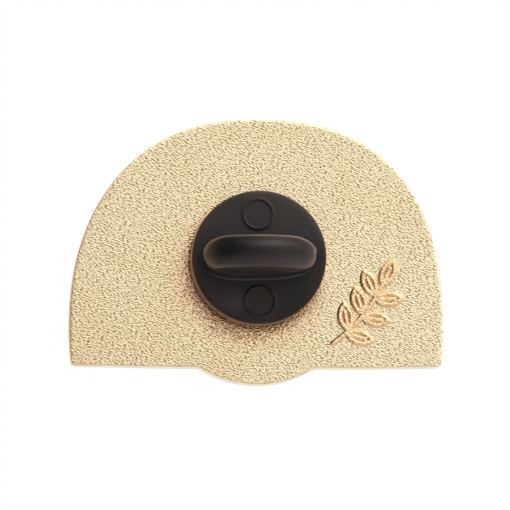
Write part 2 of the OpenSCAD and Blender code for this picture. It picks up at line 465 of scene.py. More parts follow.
def enamel_cells(gap):
    """Every cell's outline, drawn in by gap, by the name of its enamel."""
    rim = outline(RIM_W + gap)
    horizon = LINE_W / 2 + gap
    cells = {}
    r = SUN_R - gap
    a = math.degrees(math.asin(horizon / r))
    cells["enamel_sun"] = arc(0, 0, r, a, 180 - a, 60)
    inner, outer = SUN_R + LINE_W + gap, HALO_R - gap
    a, b = (math.degrees(math.asin(horizon / r)) for r in (outer, inner))
    cells["enamel_halo"] = np.vstack([arc(0, 0, outer, a, 180 - a, 80), arc(0, 0, inner, 180 - b, b, 60)])
    for k in range(RAY_COUNT):
        start, stop = (math.radians(RAY_STEP * n) for n in (k, k + 1))
        middle = (start + stop) / 2
        way = np.array([math.cos(middle), math.sin(middle)])
        tip = horizon / math.sin(math.radians(RAY_STEP / 2)) * way
        wedge = clip(rim, tip, (math.sin(start), -math.cos(start)))
        wedge = clip(wedge, tip, (-math.sin(stop), math.cos(stop)))
        cells[f"enamel_ray_{k + 1}"] = without_disc(wedge, HALO_R + LINE_W + gap)
    below = clip(rim, (0, -horizon), (0, 1))
    for side, name in ((-1, "enamel_water_left"), (1, "enamel_water_right")):
        cells[name] = without_disc(clip(below, (0, 0), (-side, 0)), REFLECTION_R + LINE_W + gap)
    reflection = below
    for a in np.radians(np.arange(180, 361, 3)):
        out = np.array([math.cos(a), math.sin(a)])
        reflection = clip(reflection, (REFLECTION_R - gap) * out, out)
    cells["enamel_reflection"] = reflection
    return {name: fine_loop(anticlockwise(loop), LOOP_STEP) for name, loop in cells.items()}


# The sprig on the back

def turned(points, degrees):
    a = math.radians(degrees)
    return points @ np.array([[math.cos(a), math.sin(a)], [-math.sin(a), math.cos(a)]])


def sprig_leaves():
    """Where each leaf starts on the stem, about the centre of the stem's bend, and the way it points."""
    turns = [(STEM_SWEEP, 90.0)]
    for k in range(1, LEAF_PAIRS + 1):
        for side in (-1, 1):
            steps = k - LEAF_SETBACK + side * LEAF_STAGGER
            turns.append((STEM_SWEEP * steps / (LEAF_PAIRS + LEAF_TAIL), 90 + side * LEAF_SPREAD))
    return [(turned(np.array([[STEM_BEND, 0.0]]), a)[0], a + b) for a, b in turns]


def leaf_radius():
    return (LEAF_L ** 2 + LEAF_W ** 2) / (4 * LEAF_W)


def to_sprig(points):
    """Points of the plate's plane, seen from the centre of the stem's bend."""
    return turned(points - SPRIG_AT, -SPRIG_TURN) + [STEM_BEND, 0]


def from_sprig(points):
    return turned(points - [STEM_BEND, 0], SPRIG_TURN) + SPRIG_AT


def sprig_distance(points):
    """Distance from each point to the middle of the nearest raised line."""
    p = to_sprig(points)
    a = np.clip(np.arctan2(p[:, 1], p[:, 0]), 0, math.radians(STEM_SWEEP))
    near = np.hypot(p[:, 0] - STEM_BEND * np.cos(a), p[:, 1] - STEM_BEND * np.sin(a))
    r = leaf_radius()
    line_r = r - SPRIG_LINE / 2
    aside = r - LEAF_W / 2
    tip = math.sqrt(line_r ** 2 - aside ** 2)
    for root, turn in sprig_leaves():
        q = turned(p - root, -turn) - [LEAF_L / 2, 0]
        u, v = np.abs(q[:, 0]), np.abs(q[:, 1])
        edge = np.where(u < tip, np.abs(np.hypot(u, v + aside) - line_r), np.hypot(u - tip, v))
        along = np.clip(q[:, 0], -LEAF_L / 2, LEAF_L * RIB_SHARE - LEAF_L / 2)
        rib = np.hypot(q[:, 0] - along, v)
        near = np.minimum(near, np.minimum(edge, rib))
    return near


def sprig_rows():
    """Points in rows along the raised lines, which keep their sides crisp."""
    rows = []
    count = round(STEM_BEND * math.radians(STEM_SWEEP) / LINE_STEP)
    a = np.radians(np.linspace(-STEM_SPARE, STEM_SWEEP + STEM_SPARE, count))
    for d in LINE_OFFSETS:
        rows.append(np.column_stack([np.cos(a), np.sin(a)]) * (STEM_BEND + d))
    r = leaf_radius()
    line_r = r - SPRIG_LINE / 2
    aside = r - LEAF_W / 2
    reach = math.degrees(math.acos(aside / (line_r + LINE_OFFSETS[-1])))
    a = np.radians(np.linspace(-reach, reach, round(2 * reach / math.degrees(LINE_STEP / r))))
    u = np.arange(0, LEAF_L * RIB_SHARE + 2 * LINE_STEP, LINE_STEP)
    for root, turn in sprig_leaves():
        for d in LINE_OFFSETS:
            bow = line_r + d
            for side in (-1, 1):
                lens = np.column_stack([bow * np.sin(a), side * (bow * np.cos(a) - aside)])
                lens = lens[side * lens[:, 1] > -LEAF_OVERLAP]
                rows.append(turned(lens + [LEAF_L / 2, 0], turn) + root)
            rows.append(turned(np.column_stack([u, np.full(len(u), d)]), turn) + root)
    points = from_sprig(np.vstack(rows))
    _, first = np.unique(np.round(points / LEAST_STEP).astype(int), axis=0, return_index=True)
    return points[np.sort(first)]


# Soft steps and patches

def smooth_step(low, high, x):
    """0 below low and 1 above high."""
    t = np.clip((x - low) / (high - low), 0, 1)
    return t * t * (3 - 2 * t)


def fading(low, high, x):
    """1 below low and 0 above high."""
    return 1 - smooth_step(low, high, x)


def facing(flat, way, low, high):
    """1 for points that lie in a way from the origin and 0 for the rest, by the cosine between the two."""
    reach = np.maximum(np.linalg.norm(flat, axis=1), 0.1)
    return smooth_step(low, high, flat @ way / reach)


def patch(x, y, middle, size):
    """A soft round patch, 1 at its middle."""
    return np.exp(-((x - middle[0]) / size[0]) ** 2 - ((y - middle[1]) / size[1]) ** 2)


# The back's grain

def grain_map():
    """Heights of a struck, leathery grain on a grid of square cells, with a spread of 1."""
    noise = np.random.default_rng(GRAIN_SEED).standard_normal(GRAIN_CELLS)
    fy, fx = np.meshgrid(*(np.fft.fftfreq(n, GRAIN_CELL) for n in GRAIN_CELLS), indexing="ij")
    a = math.radians(GRAIN_TURN)
    along = fx * math.cos(a) + fy * math.sin(a)
    across = fy * math.cos(a) - fx * math.sin(a)
    pitch = np.hypot(along * GRAIN_STRETCH, across) * GRAIN_PITCH
    weight = np.exp(-((pitch - 1) / GRAIN_BAND) ** 2)
    grain = np.real(np.fft.ifft2(np.fft.fft2(noise) * weight))
    return grain / grain.std()


def sample(grid, step, points):
    """Values between the points of a grid whose middle is at the origin."""
    x = points[:, 0] / step + grid.shape[1] / 2
    y = points[:, 1] / step + grid.shape[0] / 2
    i, j = np.floor(x).astype(int), np.floor(y).astype(int)
    u, v = x - i, y - j
    low = grid[j, i] * (1 - u) + grid[j, i + 1] * u
    high = grid[j + 1, i] * (1 - u) + grid[j + 1, i + 1] * u
    return low * (1 - v) + high * v


# Meshes

def piece_mesh(name, points, faces, offset, sharp=40.0, fields=None):
    """A welded object from points in millimetres, with its faces turned outwards and its named fields."""
    mesh = bpy.data.meshes.new(name)
    mesh.from_pydata(((np.asarray(points) + offset) * MM).tolist(), [], [list(f) for f in faces])
    for field, values in (fields or {}).items():
        layer = mesh.attributes.new(field, "FLOAT", "POINT")
        layer.data.foreach_set("value", np.asarray(values, np.float32))
    bm = bmesh.new()
    bm.from_mesh(mesh)
    bmesh.ops.remove_doubles(bm, verts=bm.verts, dist=WELD * MM)
    bmesh.ops.dissolve_degenerate(bm, edges=bm.edges, dist=WELD / 4 * MM)
    bmesh.ops.recalc_face_normals(bm, faces=bm.faces)
    bm.to_mesh(mesh)
    bm.free()
    mesh.shade_smooth()
    mesh.set_sharp_from_angle(angle=math.radians(sharp))
    piece = bpy.data.objects.new(name, mesh)
    bpy.context.scene.collection.objects.link(piece)
    return piece


def band(first, second, count):
    """Faces between two closed rings of count points that start at the given points."""
    k = np.arange(count)
    n = (k + 1) % count
    return np.column_stack([first + k, first + n, second + n, second + k]).tolist()


class Solid:
    """Points and faces of a piece, gathered from rings and flat fills."""

    def __init__(self):
        self.points, self.faces, self.count = [], [], 0

    def add(self, points, faces=()):
        start = self.count
        self.points.append(np.asarray(points, float))
        self.faces += [[start + k for k in f] for f in faces]
        self.count += len(points)
        return start

    def rings(self, rings):
        """Closed rings of as many points each, joined in turn."""
        starts = [self.add(ring) for ring in rings]
        for a, b in zip(starts, starts[1:]):
            self.faces += band(a, b, len(rings[0]))
        return starts

    def cap(self, ring_start, count, tip):
        """A fan from a ring to one point."""
        t = self.add([tip])
        self.faces += [[ring_start + k, ring_start + (k + 1) % count, t] for k in range(count)]

    def all_points(self):
        return np.vstack(self.points)


def at_height(loop, z):
    return np.column_stack([loop, np.full(len(loop), z)])


def unit_circle(count):
    """Even turns around a circle of radius 1, and its points there."""
    a = np.linspace(0, 2 * math.pi, count, endpoint=False)
    return a, np.column_stack([np.cos(a), np.sin(a)])


# The plate and its enamel

def back_level(flat, margin):
    """Height of the back without its grain, which falls a little towards the edge except along the base."""
    base = smooth_step(0, BASE_FADE, flat[:, 1] + SKIRT_H)
    fall = BACK_FALL * base * np.maximum(1 - margin / FALL_REACH, 0) ** 2
    return PLATE_T - GRAIN_HEIGHT * GRAIN_LIMIT - fall


def back_surface(edge):
    """The grained back: its points and faces, and how far each point is in a pit and on a raised line."""
    grid = hex_grid(edge.min(axis=0), edge.max(axis=0), BACK_STEP)
    grid = grid[inside(grid, even_loop(outline(BACK_EDGE + BACK_MARGIN), MARGIN_STEP))]
    grid = grid[sprig_distance(grid) > LINE_ZONE]
    flat, faces = fill([edge], np.vstack([grid, sprig_rows()]))
    margin = edge_distance(flat, edge)
    line = sprig_distance(flat)
    ridge = fading(LINE_TOP, LINE_FOOT, line)
    calm = (1 - 0.85 * ridge) * (0.35 + 0.65 * smooth_step(0.15, 0.45, line))
    grain = np.clip(sample(grain_map(), GRAIN_CELL, flat + [0, WIDE_Y]), -GRAIN_LIMIT, GRAIN_LIMIT)
    grain *= smooth_step(0, GRAIN_FADE, margin) * calm
    z = back_level(flat, margin) + GRAIN_HEIGHT * grain + SPRIG_RISE * ridge
    pit = 0.5 - grain / (2 * GRAIN_LIMIT)
    return np.column_stack([flat, z]), faces, pit, fading(0.06, 0.32, line)


def plate_sides(edge):
    """Rings down the plate's side, from the rounded edge of its back to that of its front."""
    out = outward(edge)
    brim_z = back_level(edge - BACK_EDGE * out, np.zeros(len(edge)))
    rings = []
    for a in np.radians(np.linspace(90, 0, 6)):
        ring = edge - BACK_EDGE * (1 - math.cos(a)) * out
        rings.append(np.column_stack([ring, brim_z - BACK_EDGE * (1 - math.sin(a))]))
    for a in np.radians(np.linspace(0, -90, 5)):
        ring = edge - FRONT_EDGE * (1 - math.cos(a)) * out
        rings.append(at_height(ring, FRONT_EDGE * (1 + math.sin(a))))
    return rings


def add_front(plate, rim):
    """Adds the front's cells, and the rim and lines around them."""
    tops = []
    for loop in enamel_cells(0).values():
        top = loop + CELL_EDGE * outward(loop)
        tops.append(top)
        plate.rings([at_height(top, 0), at_height(loop, CELL_EDGE), at_height(loop, CELL_DEPTH)])
        flat, faces = fill([loop])
        plate.add(at_height(flat, CELL_DEPTH), faces)
    flat, faces = fill([rim, *tops])
    plate.add(at_height(flat, 0), faces)


def left_browning(x):
    """How brown the plate's edge is, which is most at its left end."""
    return fading(0.4, 3.5, x + PLATE_W / 2)


def clutch_shade_paint(flat):
    """Painted shade and reflection of the clutch on the back, around its foot and not under it: a brown tint
    strongest towards the lower left and warmer at the left, a dark contact line at the lower left and a
    darker patch at the lower right; also a faint browning towards the plate's lower left.
    """
    away = flat - [0, POST_Y - WIDE_Y]
    past = np.linalg.norm(away, axis=1) - DISC_R
    low = facing(away, SHADE_WAY, -0.4, 0.75)
    # Painted shade and reflection of the clutch, browner towards the lower left
    wide = (0.05 + 0.34 * low) * fading(0, SHADE_REACH, past)
    close = (0.08 + 0.22 * low) * fading(-0.1, 0.6, past)
    warm = 0.32 * facing(away, LEFT_WAY, 0.75, 0.95) * fading(-0.05, 0.5, past)
    lower_left_tint = 0.08 * smooth_step(-8, 10, -flat[:, 0] - flat[:, 1])
    # Painted contact shadow at the lower left and painted shade at the lower right
    line = 0.52 * facing(away, CONTACT_SHADE_WAY, 0.3, 0.75) * fading(0.06, 0.22, past)
    side_shade = 0.42 * facing(away, SIDE_SHADE_WAY, 0.75, 1.0) * fading(0, 1.0, past)
    uncovered = smooth_step(-1.5, -0.25, past)
    return (wide + close + warm) * uncovered + lower_left_tint, (line + side_shade) * uncovered


def base_plate():
    """The struck plate: a grained back with a raised sprig, rounded edges, and the front's rim and cells."""
    edge = even_loop(outline(), LOOP_STEP)
    sides = plate_sides(edge)
    plate = Solid()
    plate.rings(sides)
    back, faces, pit, ridge = back_surface(sides[0][:, :2])
    back_start = plate.add(back, faces)
    add_front(plate, sides[-1][:, :2])
    points = plate.all_points()

    fields = {name: np.zeros(len(points)) for name in ("pit", "ridge", "back", "edge", "clutch_shade", "deep_shade")}
    fields["edge"][:back_start] = 0.3 + 0.7 * left_browning(points[:back_start, 0])
    on_back = slice(back_start, back_start + len(back))
    margin = edge_distance(back[:, :2], edge)
    fields["edge"][on_back] = 0.35 * left_browning(back[:, 0]) * fading(0, 0.4, margin)
    fields["pit"][on_back] = pit
    fields["ridge"][on_back] = ridge
    fields["back"][on_back] = 1
    fields["clutch_shade"][on_back], fields["deep_shade"][on_back] = clutch_shade_paint(back[:, :2])
    piece = piece_mesh("struck_plate", points, plate.faces, (0, WIDE_Y, 0), fields=fields)
    soften_back(piece.data)
    return piece


def soften_back(mesh):
    """Leaves no sharp edges in the grain of the back."""
    z = np.zeros(len(mesh.vertices) * 3, np.float32)
    mesh.vertices.foreach_get("co", z)
    z = z.reshape(-1, 3)[:, 2]
    ends = np.zeros(len(mesh.edges) * 2, np.int32)
    mesh.edges.foreach_get("vertices", ends)
    sharp = mesh.attributes["sharp_edge"]
    values = np.zeros(len(mesh.edges), bool)
    sharp.data.foreach_get("value", values)
    values &= z[ends.reshape(-1, 2)].min(axis=1) < (PLATE_T - BACK_ZONE) * MM
    sharp.data.foreach_set("value", values)


def enamel_fill(name, loop):
    """Enamel in one cell, drawn up a little at the metal around it."""
    grid = hex_grid(loop.min(axis=0), loop.max(axis=0), ENAMEL_STEP)
    grid = grid[inside(grid, loop)]
    grid = grid[edge_distance(grid, loop) > ENAMEL_STEP]
    out = outward(loop)
    rows = np.vstack([loop - d * out for d in ENAMEL_ROWS])
    rows = rows[inside(rows, loop)]
    rows = rows[edge_distance(rows, loop) > ROW_GAP]
    flat, faces = fill([loop], np.vstack([rows, grid]))
    margin = edge_distance(flat, loop)
    sunk = FILL_DROP + FILL_SAG
    z = sunk - DRAW_UP * np.exp(-margin / DRAW_UP_W) - DISH * np.exp(-margin / DISH_W)
    solid = Solid()
    solid.add(np.column_stack([flat, z]), faces)
    floor_z = CELL_DEPTH - FILL_CLEAR
    solid.rings([at_height(loop, sunk - DRAW_UP - DISH), at_height(loop, floor_z)])
    flat, faces = fill([loop])
    solid.add(at_height(flat, floor_z), faces)
    return piece_mesh(name, solid.all_points(), solid.faces, (0, WIDE_Y, 0), sharp=50)


# The post and its solder

def lathe(name, profile, segments, offset, sharp):
    """A turned piece from a profile of radius and height, which starts and ends on the axis."""
    _, circle = unit_circle(segments)
    solid = Solid()
    starts = solid.rings([at_height(circle * r, z) for r, z in profile[1:-1]])
    solid.cap(starts[0], segments, (0, 0, profile[0][1]))
    solid.cap(starts[-1], segments, (0, 0, profile[-1][1]))
    return piece_mesh(name, solid.all_points(), solid.faces, offset, sharp)


def post():
    """The nail: a round foot, a shank with two soft grooves and a point."""
    quarter = np.radians((0, 30, 60, 90))
    point = POST_L - 2 * POST_R
    profile = [(0, 0), (FOOT_R, 0)]
    r, z = FOOT_R - FOOT_EDGE, FOOT_T - FOOT_EDGE
    profile += [(r + FOOT_EDGE * math.cos(a), z + FOOT_EDGE * math.sin(a)) for a in quarter]
    r, z = POST_R + SHANK_FILLET, FOOT_T + SHANK_FILLET
    profile += [(r - SHANK_FILLET * math.sin(a), z - SHANK_FILLET * math.cos(a)) for a in quarter]
    for z in (FOOT_T + FREE_L, point - COLLAR_L - GROOVE_L):
        for u in np.linspace(0, 1, 13):
            profile.append((POST_R - GROOVE_T * math.sin(math.pi * u) ** 1.5, z + GROOVE_L * u))
    # A softened start and a blunt end for the cone
    profile += [(POST_R, point - 0.05), (POST_R - 0.02, point + 0.06), (TIP_R + 0.03, POST_L - 0.12)]
    profile += [(TIP_R, POST_L - 0.05), (TIP_R * 0.6, POST_L - 0.01), (0, POST_L)]
    return lathe("nail_post", profile, POST_SIDES, (0, POST_Y, PLATE_T), sharp=60)


def solder_ring():
    """Solder drawn up around the post's foot, with a hollow face and a wavy edge."""
    inner_r = FOOT_R + SOLDER_GAP
    profile = [(inner_r, SOLDER_GAP), (FOOT_R + SOLDER_W, SOLDER_GAP)]
    for u in np.linspace(0.05, 1, 9):
        profile.append((inner_r + SOLDER_W * (1 - u), SOLDER_H * u ** SOLDER_HOLLOW + SOLDER_LIP))
    a, circle = unit_circle(SOLDER_SIDES)
    wave = 1 + 0.05 * np.sin(3 * a + 0.6) + 0.03 * np.sin(7 * a + 2)
    rings = []
    for r, z in profile:
        reach = inner_r + (r - inner_r) * wave
        rings.append(at_height(circle * reach[:, None], z))
    solid = Solid()
    starts = solid.rings(rings)
    solid.faces += band(starts[-1], starts[0], len(a))
    return piece_mesh("solder_fillet", solid.all_points(), solid.faces, (0, POST_Y, PLATE_T), sharp=50)


# The clutch

def bar_ring(half_l, half_w, foot):
    """A ring around the bar, from its top, where foot is 0, to its foot, which is bowed in and skewed."""
    quarters = []
    for k, (high, low) in enumerate(zip(BAR_CORNERS, FOOT_CORNERS)):
        side, reach, blunt = (p + (q - p) * foot for p, q in zip(high, low))
        a = np.radians(np.linspace(90 * k, 90 * k + 90, 60))
        c, s = np.cos(a), np.sin(a)
        reach = min(reach * min(half_w / BAR_TOP_W, 1), half_l)
        x = side * (half_l - reach) + reach * np.sign(c) * np.abs(c) ** (2 / blunt)
        bow = 1 - FOOT_BOW * foot * (x / half_l) ** 2
        y = bow * half_w * np.sign(s) * np.abs(s) ** (2 / blunt)
        quarters.append(np.column_stack([x, y + FOOT_SKEW * foot * x]))
    return spread(np.vstack(quarters), CLUTCH_POINTS)


def bar_levels():
    """Half length, half width and height of the bar's rings, and how much of the lip's painted highlight and
    rubbing each holds, from its top to the foot of its pad.
    """
    rings = []
    for t in BAR_STEPS:
        half_l, half_w = (BAR_TOP_L - BAR_EDGE_L) * t, (BAR_TOP_W - BAR_EDGE_W) * t
        rings.append((half_l, half_w, BAR_RISE - BAR_SAG * t * t, 0.0))
    lip_z = BAR_RISE - BAR_SAG - BAR_EDGE_H
    for turn in np.linspace(90, 0, 16):
        c, s = math.cos(math.radians(turn)), math.sin(math.radians(turn))
        half_l, half_w = BAR_TOP_L - BAR_EDGE_L * (1 - c), BAR_TOP_W - BAR_EDGE_W * (1 - c)
        rings.append((half_l, half_w, lip_z + BAR_EDGE_H * s, fading(25, 70, turn)))
    for t in np.linspace(0, 1, 20)[1:]:
        half_l, half_w = BAR_TOP_L + (BAR_FOOT_L - BAR_TOP_L) * t, BAR_TOP_W + (BAR_FOOT_W - BAR_TOP_W) * t
        rings.append((half_l, half_w, lip_z + (PAD_H + FOOT_FILLET_H - lip_z) * t, fading(0, 0.12, t)))
    rings.append((BAR_FOOT_L + FOOT_FILLET_W, BAR_FOOT_W + FOOT_FILLET_W, PAD_H, 0.0))
    for a in np.radians(np.linspace(90, 0, 5)):
        drawn = PAD_EDGE * (1 - math.cos(a))
        rings.append((PAD_L - drawn, PAD_W - drawn, PAD_H - PAD_EDGE * (1 - math.sin(a)), 0.0))
    rings.append((PAD_L + PAD_FILLET / 4, PAD_W + PAD_FILLET / 4, PAD_FILLET / 2, 0.0))
    rings.append((PAD_L + PAD_FILLET, PAD_W + PAD_FILLET, 0.0, 0.0))
    return rings


def bar_rings():
    """The bar's rings: arched along its length, leaning a little, with the stub of its gate at one end."""
    made = []
    for half_l, half_w, z, _ in bar_levels():
        share = z / BAR_RISE
        ring = bar_ring(half_l, half_w, fading(0.1, 0.8, share))
        stub = np.exp(-((ring[:, 1] - NUB_AT) / NUB_SPREAD) ** 2) * (ring[:, 0] > 0.8 * half_l)
        stub *= smooth_step(0.35, 0.6, share) * smooth_step(0.7, 0.95, half_l / BAR_TOP_L)
        ring[:, 0] += NUB_REACH * stub
        drop = BAR_ARCH_R - np.sqrt(BAR_ARCH_R ** 2 - ring[:, 0] ** 2)
        z = z - drop * max(z - PAD_H, 0) / (BAR_RISE - PAD_H)
        made.append(np.column_stack([ring[:, 0] + BAR_LEAN[0] * share,
                                     ring[:, 1] + BAR_FOOT_Y + BAR_LEAN[1] * share, z]))
    return made


def hole_profile():
    """Radius and height of the hollow and the hole, upwards from the disc's foot, with two grip ridges."""
    profile = [(RECESS_R + RECESS_EDGE, 0), (RECESS_R, RECESS_EDGE), (RECESS_R, RECESS_T)]
    profile += [(NECK_R, RECESS_T + NECK_SLOPE_L), (NECK_R, NECK_L)]
    for z in (NECK_L + RIDGE_L, BORE_L - 2 * RIDGE_L):
        for u in np.linspace(-1, 1, 13):
            height = fading(RIDGE_TOP_L / RIDGE_L, 1, abs(u))
            profile.append((BORE_R + (GRIP_R - BORE_R) * height, z + u * RIDGE_L / 2))
    return profile + [(BORE_R, BORE_L - RIDGE_L / 2), (2 * TIP_R, BORE_L)]


def disc_rings(foot):
    """Rings from the bar's foot over the slightly oval disc, down its wall and up into the hole."""
    a, bore = unit_circle(CLUTCH_POINTS)
    circle = bore * (1 + DISC_OVAL * np.cos(2 * (a - math.radians(DISC_OVAL_TURN)))[:, None])
    circle += np.array(DISC_SHIFT) / DISC_R
    rings = []
    for t in np.linspace(0, 1, DISC_STEPS + 1)[1:]:
        flat = foot[:, :2] * (1 - t) + circle * (DISC_R - DISC_EDGE) * t
        rings.append(np.column_stack([flat, -DISC_DOME * np.sum(flat ** 2, axis=1) / DISC_R ** 2]))
    edge_z = -DISC_DOME * (1 - DISC_EDGE / DISC_R) ** 2
    for b in np.radians(np.linspace(90, 0, 9)[1:]):
        rings.append(at_height(circle * (DISC_R - DISC_EDGE * (1 - math.cos(b))),
                               edge_z - DISC_EDGE * (1 - math.sin(b))))
    wall_z = edge_z - DISC_EDGE
    foot_z = DISC_FOOT_EDGE - DISC_T
    for t in (0.25, 0.5, 0.75, 1.0):
        r = DISC_R + (DISC_FOOT_R - DISC_R) * t
        rings.append(at_height(circle * r, wall_z + (foot_z - wall_z) * t))
    rings.append(at_height(circle * (DISC_FOOT_R - DISC_FOOT_EDGE / 3), DISC_FOOT_EDGE / 3 - DISC_T))
    rings.append(at_height(circle * (DISC_FOOT_R - DISC_FOOT_EDGE), -DISC_T))
    for r, z in hole_profile():
        rings.append(at_height(bore * r, z - DISC_T))
    return rings


def mark_height(flat):
    """Height of the two round moulding marks, each a thin raised ring around a slightly raised middle."""
    high = np.zeros(len(flat))
    for middle in MARKS:
        d = np.linalg.norm(flat - middle, axis=1)
        high += MARK_RISE * fading(MARK_R - 2 * MARK_RING_IN, MARK_R, d)
        high += MARK_RING_H * np.exp(-((d - MARK_R + MARK_RING_IN) / MARK_RING_W) ** 2)
    return high


def bar_light_and_rubbing(points):
    """Fields of the bar: painted highlights, with some rubbing, along its lips and ends, painted sheen on
    its top and a painted highlight along its foot, and a painted dark reflection on its top.
    """
    _, _, height, lip = (np.repeat(column, CLUTCH_POINTS) for column in zip(*bar_levels()))
    share = height / BAR_RISE
    u = (points[:, 0] - BAR_LEAN[0] * share) / BAR_TOP_L
    v = (points[:, 1] - BAR_FOOT_Y - BAR_LEAN[1] * share) / BAR_TOP_W
    outer = smooth_step(0.3, 0.9, np.abs(u))
    # Painted highlight along the lips, strongest on the upper side, towards the light
    lip_highlight = np.where(v > 0, 0.95 + 0.05 * outer, 0.10 + 0.45 * outer)
    end = 0.21 * smooth_step(0.74, 0.97, np.abs(u)) * smooth_step(0.70, 0.82, share)
    top = smooth_step(0.70, 0.86, share)
    # Painted sheen on the top, and a painted highlight along the foot
    near = 0.42 * smooth_step(0.05, 0.75, -v)
    far = 0.7 * patch(u, v, (0.18, 0.42), (0.42, 0.26))
    foot = 0.7 * fading(0.028, 0.039, share) * fading(0.75, 1.0, np.abs(u))
    return {
        "rub_and_highlight": np.maximum(lip * lip_highlight, end),
        "painted_sheen": (near + far) * top + foot,
        # Painted dark reflection
        "dark_reflection": patch(u, v, (-0.62, -0.08), (0.20, 0.42)) * top,
    }


def disc_sheen_paint(points):
    """Fields of the disc: painted sheen towards its top and in one patch near the lower mark."""
    x, y = points[:, :2].T
    upper = (0.24 + 0.08 * smooth_step(0, 4, x)) * smooth_step(-0.5, 3, y)
    return {"painted_sheen": 0.05 + upper + 0.25 * patch(x, y, (-1.9, -3.6), (1.1, 0.8))}


def wall_finish_and_light(points):
    """Fields of the disc's rim and wall: a smooth wall with a painted reflection of the gold, strongest on
    its lower left side and a little less towards its foot, and a painted highlight along the rim's upper
    side.
    """
    flat = points[:, :2]
    past = np.linalg.norm(flat, axis=1) - DISC_R
    left = facing(flat, LEFT_WAY, 0.55, 0.9)
    low = 1 - 0.25 * smooth_step(0.3, 2.2, -points[:, 2])
    wall = smooth_step(-0.12 - 0.2 * left, -0.04 - 0.16 * left, past) * low
    return {
        "wall": wall,
        # Painted reflection of the gold, strongest on the lower left
        "brown": wall * (0.2 + 0.8 * facing(flat, WALL_REFLECTION_WAY, -0.5, 0.3)),
        # Painted highlight along the rim's upper side
        "rub_and_highlight": 0.14 * facing(flat, RIM_HIGHLIGHT_WAY, 0.55, 0.95) * smooth_step(-0.7, 0, past),
    }


def rubber_clutch():
    """The clutch: a finger bar on a thick disc, with a hollow and a ridged blind hole for the post."""
    bar = bar_rings()
    solid = Solid()
    starts = solid.rings(bar + disc_rings(bar[-1]))
    solid.cap(starts[0], CLUTCH_POINTS, (*bar[0][:, :2].mean(axis=0), BAR_RISE))
    solid.cap(starts[-1], CLUTCH_POINTS, (0, 0, BORE_L - DISC_T))
    points = solid.all_points()
    disc = starts[len(bar)]
    rim = starts[len(bar) + DISC_STEPS - RIM_STEPS]
    on_top = slice(disc, starts[len(bar) + DISC_STEPS - 1])
    points[on_top, 2] += mark_height(points[on_top, :2])

    fields = {name: np.zeros(len(points)) for name in ("rub_and_highlight", "painted_sheen", "wall", "brown", "dark_reflection")}
    stretches = ((slice(0, disc), bar_light_and_rubbing), (slice(disc, None), disc_sheen_paint), (slice(rim, None), wall_finish_and_light))
    for stretch, painter in stretches:
        for name, values in painter(points[stretch]).items():
            fields[name][stretch] = values
    place = (0, POST_Y, PLATE_T + DISC_T)
    return piece_mesh("rubber_clutch_moulding", points, solid.faces, place, sharp=60, fields=fields)


# Materials

class Wire:
    """A socket of a material, whose operators add Math nodes."""

    def __init__(self, finish, socket):
        self.finish, self.socket = finish, socket

    def math(self, operation, *values):
        return self.finish.node("ShaderNodeMath", {"operation": operation}, dict(enumerate(values)))

    def __add__(self, other):
        return self.math("ADD", self, other)

    def __sub__(self, other):
        return self.math("SUBTRACT", self, other)

    def __rsub__(self, other):
        return self.math("SUBTRACT", other, self)

    def __mul__(self, other):
        return self.math("MULTIPLY", self, other)

    def larger(self, other):
        return self.math("MAXIMUM", self, other)

    __radd__ = __add__
    __rmul__ = __mul__


class Finish:
    """The nodes of a material or of the world."""

    def __init__(self, owner):
        self.owner = owner
        owner.use_nodes = True
        self.tree = owner.node_tree
        self.tree.nodes.clear()

    def node(self, kind, settings=None, sockets=None, out=0):
        """Adds a node, sets it up, fills its sockets with values or wires and gives one of its outputs."""
        made = self.tree.nodes.new(kind)
        for name, value in (settings or {}).items():
            setattr(made, name, value)
        for name, value in (sockets or {}).items():
            socket = made.inputs[name]
            if isinstance(value, Wire):
                self.tree.links.new(value.socket, socket)
            elif isinstance(value, tuple) and socket.type == "RGBA":
                socket.default_value = (*value, 1)
            else:
                socket.default_value = value
        return Wire(self, made.outputs[out]) if made.outputs else None

    def noise(self, size, detail=3.0, turn=0.0):
        """Noise with blotches of about size millimetres, given once or along X, Y and Z before a turn."""
        sizes = size if isinstance(size, tuple) else (size, size, size)
        at = self.node("ShaderNodeMapping", {"vector_type": "TEXTURE"}, {
            "Vector": self.node("ShaderNodeTexCoord", out="Object"),
            "Scale": tuple(k * MM for k in sizes),
            "Rotation": (0, 0, math.radians(turn))})
        return self.node("ShaderNodeTexNoise", {}, {"Vector": at, "Scale": 1.0, "Detail": detail})

    def field(self, name):
        return self.node("ShaderNodeAttribute", {"attribute_name": name}, out="Fac")

    def ramp(self, value, low, high):
        """0 below low and 1 above high, smooth between them."""
        return self.node("ShaderNodeMapRange", {"interpolation_type": "SMOOTHSTEP"}, {
            "Value": value, "From Min": low, "From Max": high})

    def mix(self, share, first, second):
        """A colour between two."""
        return self.node("ShaderNodeMix", {"data_type": "RGBA"}, {0: share, 6: first, 7: second}, out=2)

    def bump(self, height, distance):
        """A normal from heights, where 1 stands distance millimetres high."""
        return self.node("ShaderNodeBump", {}, {"Height": height, "Distance": distance * MM})

    def surface(self, sockets):
        shader = self.node("ShaderNodeBsdfPrincipled", {}, sockets)
        self.node("ShaderNodeOutputMaterial", {}, {"Surface": shader})
        return self.owner


def new_finish(name):
    return Finish(bpy.data.materials.new(name))


